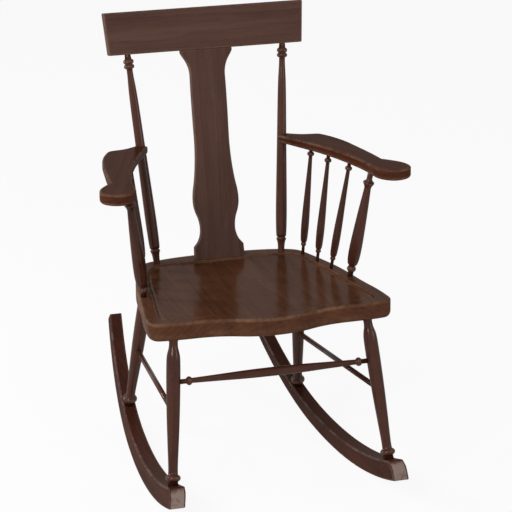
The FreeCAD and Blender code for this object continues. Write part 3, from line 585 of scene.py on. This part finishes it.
def make_seat():
    """Seat: undercut edge, level margin, cut line and dished saddle."""
    turns = [-math.pi + 2 * math.pi * (number + 0.5) / 900 for number in range(900)]
    ways = inward(SEAT_OUTLINE)
    rim_ways = inward(RIM_OUTLINE)
    rings = []
    wear = []

    def add(line, depth, worn):
        rings.append([(p.x, p.y, SEAT_TOP - (depth(p) if callable(depth) else depth)) for p in line])
        wear.append(worn)

    def edge(inset):
        return polar(drawn_in(SEAT_OUTLINE, ways, inset), SEAT_CENTRE, turns)

    # Underside and undercut
    add(edge(14), SEAT_THICKNESS, 0)
    for inset, off in rounded_edge(10, 13, 7):
        add(edge(inset), SEAT_THICKNESS - off, 0.35)
    # Side and its rounded upper edge
    for off in (20, 12, 7):
        add(edge(0), off, 0.1)
    for inset, off in rounded_edge(3.5, 3.5, 6)[::-1]:
        add(edge(inset), off, 1.0)
    # Level margin, from the edge to the cut line
    brink = edge(5.5)
    add(brink, 0, 0.35)
    rim = polar(RIM_OUTLINE, SEAT_CENTRE, turns)
    for share in (0.25, 0.5, 0.75, 0.93):
        add([a.lerp(b, share) for a, b in zip(brink, rim)], 0, 0.1)
    # Cut line
    for inset, off in RIM_GROOVE:
        line = polar(drawn_in(RIM_OUTLINE, rim_ways, inset), SEAT_CENTRE, turns)
        add(line, off, 1.0 if off <= LIP_DEPTH else 0.0)
    # Saddle, in rings that close in on its middle
    inner = polar(drawn_in(RIM_OUTLINE, rim_ways, 6.5), SEAT_CENTRE, turns)
    for share in (0, 0.02, 0.06, 0.12, 0.2, 0.3, 0.4, 0.5, 0.6, 0.7, 0.8, 0.88, 0.94, 0.98):
        line = [a.lerp(SEAT_CENTRE, share) for a in inner]
        add(line, saddle_depth, 0.6 if share == 0 else 0.12)
    own = grain_frame((0, 0, SEAT_UNDERSIDE), (0, 1, 0), (0, 0, 1))
    piece("smooth_seat", rings, wear, own, ["seat"], "seat_wood", seat_wood, LEVEL)


make_seat()

# Back: crest board, splat and posts

CREST_TOP = CREST_HEIGHT + CREST_DEPTH
CREST_OUTLINE = [
    Vector((-222.5, CREST_HEIGHT)),
    Vector((222.5, CREST_HEIGHT)),
    Vector((229.5, CREST_TOP)),
    Vector((-229.5, CREST_TOP)),
]


def board_place(thickness):
    """Function that puts a place of a board in the back plane near its rear or front face."""
    def placed(x, rise, end, off):
        return (x, rise, thickness / 2 - off if end else off - thickness / 2)
    return placed


def make_back():
    """Crest board and splat, in the raked plane."""
    edge = rounded_edge(2.2, 2.2, 4)
    rings, wear = slab_rings(CREST_OUTLINE, edge, edge, board_place(CREST_THICKNESS), 3.0)
    own = BACK_PLANE @ grain_frame((0, CREST_HEIGHT + CREST_DEPTH / 2, 0), (1, 0, 0), (0, 0, 1))
    piece("smooth_crest_rail", rings, wear, own, ["crest_rail"], "board_wood", board_wood, BACK_PLANE)
    foot = [Vector((0, -12)), Vector((58, -12)), Vector((56.5, 27))]
    side = flowing([
        (53, 31, 135), (39.5, 67, 90), (52, 130, 90), (44, 190, 97), (40, 367, 90), (50, 447, 58),
        (59, CREST_HEIGHT - 5, 72),
    ], 2)
    head = [Vector((59, CREST_HEIGHT)), Vector((0, CREST_HEIGHT))]
    edge = rounded_edge(1.5, 1.5, 3)
    outline = both_sides(foot + side + head)
    rings, wear = slab_rings(outline, edge, edge, board_place(SPLAT_THICKNESS), 1.5)
    own = BACK_PLANE @ grain_frame((0, 0, 0), (0, 1, 0), (0, 0, 1))
    piece("smooth_back_splat", rings, wear, own, ["back_splat"], "board_wood", board_wood, BACK_PLANE)


make_back()

post_foot = on_back(145.4, 0)
post_head = on_back(179, CREST_HEIGHT)
top = (post_head - post_foot).length
lathe_pair("back_post_%s", *profile((-25, 14), [
    [(0, 14)],
    [(10, 15.2), (21, 17.4), (27, 22)],
    [(29.5, 22)],
    [(31.5, 18), (34, 22)],
    [(42, 23.2), (60, 24.4), (98, 25), (260, 21.2), (top - 120, 19.2), (top - 78, 17.1), (top - 45, 13.6),
     (top - 32, 13.5)],
    [(top - 27, 23.4), (top - 22, 17.4)],
    [(top - 21, 17.4)],
    [(top - 15.5, 23.4), (top - 10, 15)],
    [(top, 13)],
    [(top + 15, 13)],
]), post_foot, post_head, "turned_wood", turned_wood)

# Arms and what carries them

ARM_TOP_REAR = 682.5
ARM_RISE = 4
ARM_THICKNESS_REAR = 18
ARM_THICKNESS_FRONT = 25
ARM_REAR_Y = 213
ARM_FRONT_Y = -176


def to_front(y):
    """How far a place lies along the arm, from 0 at its rear to 1 at its front."""
    return (ARM_REAR_Y - y) / (ARM_REAR_Y - ARM_FRONT_Y)


def arm_top_z(y):
    """Level of the arm's top, which rises slightly to the front."""
    return ARM_TOP_REAR + ARM_RISE * to_front(y)


def arm_underside_z(y):
    """Level of the arm's underside: the board is thicker at the front."""
    return arm_top_z(y) - ARM_THICKNESS_REAR - (ARM_THICKNESS_FRONT - ARM_THICKNESS_REAR) * to_front(y)


def make_arms():
    """The two scrolled arm boards."""
    outer = flowing([
        (176, ARM_REAR_Y, -38), (219, 191, -8), (249, 179, -60), (283, 80, -81), (303, -72, -86),
    ], 2.5)
    inner = flowing([
        (303, -72, -44), (342, -140, -88), (305, ARM_FRONT_Y, -178), (270, -154, 124), (262, -120, 94),
        (233, 20, 107), (151, 201, 118),
    ], 2.5)
    outline = outer + inner[1:]

    def placed(x, y, end, off):
        return (x, y, arm_top_z(y) - off if end else arm_underside_z(y) + off)

    rings, wear = slab_rings(outline, rounded_edge(6, 6, 6), rounded_edge(4, 4, 6), placed)
    for side, sign in (("right", 1), ("left", -1)):
        if side == "left":
            rings = [[mirrored(place) for place in ring] for ring in rings]
        along = (-0.36 * sign, 1, 0)
        own = grain_frame((300 * sign, 0, 670), along, (0, 0, 1))
        piece("smooth_arm_" + side, rings, wear, own, ["arm_" + side], "arm_wood", arm_wood, LEVEL)


make_arms()

arm_post_foot = Vector((233.6, -61.2, SEAT_TOP))
arm_post_head = Vector((270, -92, arm_underside_z(-92)))
top = (arm_post_head - arm_post_foot).length
lathe_pair("arm_post_%s", *profile((-20, 12.5), [
    [(11, 12.5)],
    [(17, 20), (23, 14.5)],
    [(25, 14.5)],
    [(30, 21.8), (45, 26.3), (70, 27.3), (112, 24.8), (top - 84, 20.3), (top - 45, 15.8), (top - 34, 15.6),
     (top - 26, 23.6)],
    [(top - 24, 24.6), (top - 22, 22.6)],
    [(top - 18.5, 15), (top - 13, 12.5)],
    [(top + 10, 12.5)],
]), arm_post_foot, arm_post_head, "turned_wood", turned_wood)

SPINDLE_FEET = [(184.8, 125.4), (199.5, 65.2), (211.5, 3.6)]
SPINDLE_HEADS = [(208.4, 134.5), (228.4, 71.6), (251.5, -4.4)]
for number, (foot_place, head_place) in enumerate(zip(SPINDLE_FEET, SPINDLE_HEADS), 1):
    foot = Vector((*foot_place, SEAT_TOP))
    head = Vector((*head_place, arm_underside_z(head_place[1])))
    top = (head - foot).length
    lathe_pair("arm_spindle_%%s_%d" % number, *profile((-10, 7), [
        [(18.5, 7)],
        [(23, 12), (27, 9.5)],
        [(30.5, 14), (45, 16.3), (67, 17.5), (100, 16.5), (146, 13.5), (top - 48, 10), (top - 18, 8.2)],
        [(top - 13, 16), (top - 8, 8.2)],
        [(top + 8, 8.2)],
    ]), foot, head, "turned_wood", turned_wood)

# Rockers

ROCKER_RADIUS = 1040
TAIL_RADIUS = 700
TAIL_START_Y = 110
NOSE_Y = -362
TAIL_Y = 488
NOSE_DEPTH = 46.5
TAIL_DEPTH = 32
NOSE_THICKNESS = 35.5
TAIL_THICKNESS = 29
ROCKER_OUTER_X = 243.4
ROCKER_TOE_IN = 4.46
ROCKER_LEAN = 6.5


def under_z(y):
    """Level of the rocker's underside: a large arc, then a tighter one that meets it smoothly."""
    if y <= TAIL_START_Y:
        return ROCKER_RADIUS - math.sqrt(ROCKER_RADIUS**2 - (y - PIVOT.y) ** 2)
    share = 1 - TAIL_RADIUS / ROCKER_RADIUS
    centre_y = PIVOT.y + (TAIL_START_Y - PIVOT.y) * share
    centre_z = ROCKER_RADIUS + (under_z(TAIL_START_Y) - ROCKER_RADIUS) * share
    return centre_z - math.sqrt(TAIL_RADIUS**2 - (y - centre_y) ** 2)


def upper_z(y):
    """Level of the rocker's upper edge."""
    return under_z(y) + NOSE_DEPTH + (TAIL_DEPTH - NOSE_DEPTH) * (y - NOSE_Y) / (TAIL_Y - NOSE_Y)


def outer_x(y, z):
    """Outer face of the right rocker, a leaning plane that toes in to the back."""
    toe_in = y * math.tan(math.radians(ROCKER_TOE_IN))
    return ROCKER_OUTER_X - toe_in - z * math.tan(math.radians(ROCKER_LEAN))


def thick(y):
    """Thickness across the rocker, which thins to the tail."""
    return NOSE_THICKNESS + (TAIL_THICKNESS - NOSE_THICKNESS) * (y - NOSE_Y) / (TAIL_Y - NOSE_Y)


def make_rockers():
    """The two leaning rocker boards, with a rounded nose that carries a painted highlight."""
    step = 10
    low = [Vector((y, under_z(y))) for y in range(NOSE_Y, TAIL_Y - 8, step)]
    tail = Vector((TAIL_Y, under_z(TAIL_Y)))
    slope = math.atan2(under_z(TAIL_Y) - under_z(TAIL_Y - 1), 1)
    across = TAIL_DEPTH * math.cos(slope)
    tip = tail + Vector((-math.sin(slope), math.cos(slope))) * across
    brow = NOSE_Y + 24
    high = [Vector((y, upper_z(y))) for y in range(brow, int(tip.x) - 6, step)]
    nose = [Vector((NOSE_Y + 9, upper_z(brow) - 8)), Vector((NOSE_Y + 4.5, under_z(NOSE_Y + 5) + 22))]
    outline = low + [tail, tip] + high[::-1] + nose

    def placed(y, z, end, off):
        return (outer_x(y, z) - (thick(y) - off if end == 0 else off), y, z)

    # Painted highlight: the front end of the nose is pushed hard toward the pale worn colour, standing in
    # for the light that falls on it from the front.
    def nose_highlight(place):
        return 7.0 if place.x < NOSE_Y + 20 else 0.0

    edge = rounded_edge(3, 3, 4)
    rings, wear = slab_rings(outline, edge, edge, placed, 2.5, nose_highlight)
    for side, sign in (("right", 1), ("left", -1)):
        if side == "left":
            rings = [[mirrored(place) for place in ring] for ring in rings]
        own = grain_frame((220 * sign, 0, 30), (0, 1, 0), (1, 0, 0))
        node = "rocker_" + side
        piece("smooth_" + node, rings, wear, own, [node], "rocker_wood", rocker_wood, LEVEL)


make_rockers()

# Legs and stretchers


def leg_line(head_x, head_y, foot_y):
    """Foot and head of a leg's axis, on the rocker and under the seat."""
    foot_z = upper_z(foot_y)
    foot_x = outer_x(foot_y, foot_z) - thick(foot_y) / 2
    return Vector((foot_x, foot_y, foot_z)), Vector((head_x, head_y, SEAT_UNDERSIDE))


def at_level(line, z):
    """Place on a leg's axis at a level."""
    foot, head = line
    return foot.lerp(head, (z - foot.z) / (head.z - foot.z))


front_line = leg_line(head_x=214.5, head_y=-231, foot_y=-302)
rear_line = leg_line(head_x=176.7, head_y=131, foot_y=222)
for name, (foot, head) in (("front_leg_%s", front_line), ("rear_leg_%s", rear_line)):
    top = (head - foot).length
    lathe_pair(name, *profile((-6, 22), [
        [(9.5, 22)],
        [(16, 32.5), (22.5, 21.1)],
        [(36.5, 20.3), (0.32 * top, 24.8), (0.5 * top, 28.2), (0.7 * top, 30), (top - 46, 29.4),
         (top - 33, 26.8), (top - 20, 20.1), (top - 10, 18.5)],
        [(top - 4, 20.5), (top + 1, 25)],
        [(top + 4, 25)],
    ]), foot, head, "turned_wood", turned_wood)

FRONT_STRETCHER_Z = 291.5
SIDE_STRETCHER_FRONT_Z = 231
SIDE_STRETCHER_REAR_Z = 216
SIDE_STRETCHER_DIAMETER = 11.5
# Each stretcher ends this far short of the axis of its leg
END_GAP = 6

right = at_level(front_line, FRONT_STRETCHER_Z)
line, wear = profile((0, 19.5), [
    [(60, 18.3), (120, 14.6), (165, 12), (182, 11)],
    [(188, 19), (194, 10.5)],
    [(right.x - END_GAP, 10.5)],
])
line = [(-h, d) for h, d in line[:0:-1]] + line
wear = wear[:0:-1] + wear
middle = Vector((0, right.y, right.z))
beside = middle + Vector((1, 0, 0))
lathe("smooth_front_stretcher", line, wear, middle, beside, "turned_wood", turned_wood)

rear = at_level(rear_line, SIDE_STRETCHER_REAR_Z)
front = at_level(front_line, SIDE_STRETCHER_FRONT_Z)
top = (front - rear).length
line = [(height, SIDE_STRETCHER_DIAMETER) for height in (END_GAP, top / 2, top - END_GAP)]
lathe_pair("side_stretcher_%s", line, [0.1, 0.2, 0.1], rear, front, "turned_wood", turned_wood)

# Floor, light and camera

FLOOR_REACH = 30
FLOOR_GLOW = 0.92
WORLD_LIGHT = 0.22
FOCAL_LENGTH = 2600
PICTURE_WIDTH = 512
SENSOR_WIDTH = 36
PICTURE_SHIFT = (-26.5, -5.4)
CAMERA_PLACE = (-1529, -5204, 2173)
CAMERA_TURN = Matrix((
    (0.9539, -0.3000, -0.0055), (0.0942, 0.2821, 0.9547), (-0.2849, -0.9113, 0.2974),
)).transposed().to_4x4()


def background_rays(g):
    """1 for the rays that show the white background: straight, mirrored or through glass."""
    rays = g.add("LightPath").outputs
    seen = g.math("MAXIMUM", rays["Is Camera Ray"], rays["Is Glossy Ray"])
    return g.math("MAXIMUM", seen, rays["Is Transmission Ray"])


def make_floor():
    """White floor, which is seen almost as bright as the background and keeps a faint shadow."""
    corners = [(-1, -1), (1, -1), (1, 1), (-1, 1)]
    mesh = bpy.data.meshes.new("floor")
    mesh.from_pydata([(x * FLOOR_REACH, y * FLOOR_REACH, 0) for x, y in corners], [], [(0, 1, 2, 3)])
    floor = bpy.data.objects.new("floor", mesh)
    bpy.context.scene.collection.objects.link(floor)
    g, shader = surface("floor")
    g.put(shader["Base Color"], (0.9, 0.9, 0.9, 1))
    g.put(shader["Roughness"], 0.9)
    g.put(shader["Specular IOR Level"], 0.0)
    matt = g.nodes["Principled BSDF"].outputs[0]
    glow = g.add("Emission", {"Color": (1, 1, 1, 1), "Strength": 1.0}).outputs[0]
    share = g.math("MULTIPLY", background_rays(g), FLOOR_GLOW)
    both = g.add("MixShader", {0: share, 1: matt, 2: glow}).outputs[0]
    g.put(g.nodes["Material Output"].inputs["Surface"], both)
    mesh.materials.append(g.owner)


def make_world():
    """Plain pale light all round, which is white where it is seen."""
    world = bpy.data.worlds.new("studio")
    bpy.context.scene.world = world
    g = Graph(world)
    plain = g.nodes["Background"]
    g.put(plain.inputs["Color"], (0.93, 0.96, 1, 1))
    g.put(plain.inputs["Strength"], WORLD_LIGHT)
    white = g.add("Background", {"Color": (1, 1, 1, 1), "Strength": 1.0}).outputs[0]
    pick = g.add("MixShader", {0: background_rays(g), 1: plain.outputs[0], 2: white}).outputs[0]
    g.put(g.nodes["World Output"].inputs["Surface"], pick)


def lamp(name, place, target, size, power, colour):
    """Square soft lamp that points at a target."""
    light = bpy.data.lights.new(name, "AREA")
    light.size = size
    light.energy = power
    light.color = colour
    thing = bpy.data.objects.new(name, light)
    thing.location = place
    thing.rotation_euler = (Vector(target) - Vector(place)).to_track_quat("-Z", "Y").to_euler()
    bpy.context.scene.collection.objects.link(thing)


def make_camera():
    """Camera that sees the chair as the photograph does."""
    data = bpy.data.cameras.new("camera")
    data.sensor_width = SENSOR_WIDTH
    data.lens = FOCAL_LENGTH / PICTURE_WIDTH * SENSOR_WIDTH
    data.shift_x = PICTURE_SHIFT[0] / PICTURE_WIDTH
    data.shift_y = PICTURE_SHIFT[1] / PICTURE_WIDTH
    data.clip_end = 2 * FLOOR_REACH
    camera = bpy.data.objects.new("camera", data)
    bpy.context.scene.collection.objects.link(camera)
    camera.matrix_world = in_metres(Matrix.Translation(CAMERA_PLACE) @ CAMERA_TURN)
    bpy.context.scene.camera = camera


make_floor()
make_world()
lamp("key", (-2.4, -2.6, 2.9), (0, 0, 0.5), size=1.5, power=90, colour=(0.98, 0.985, 1))
lamp("fill", (2.6, -2.4, 1.6), (0, 0, 0.4), size=1.2, power=22, colour=(1, 0.97, 0.94))
lamp("rim", (-2.6, 1.2, 1.5), (0, 0, 0.6), size=0.8, power=46, colour=(0.9, 0.96, 1))
make_camera()
bpy.context.scene.view_settings.view_transform = "Standard"
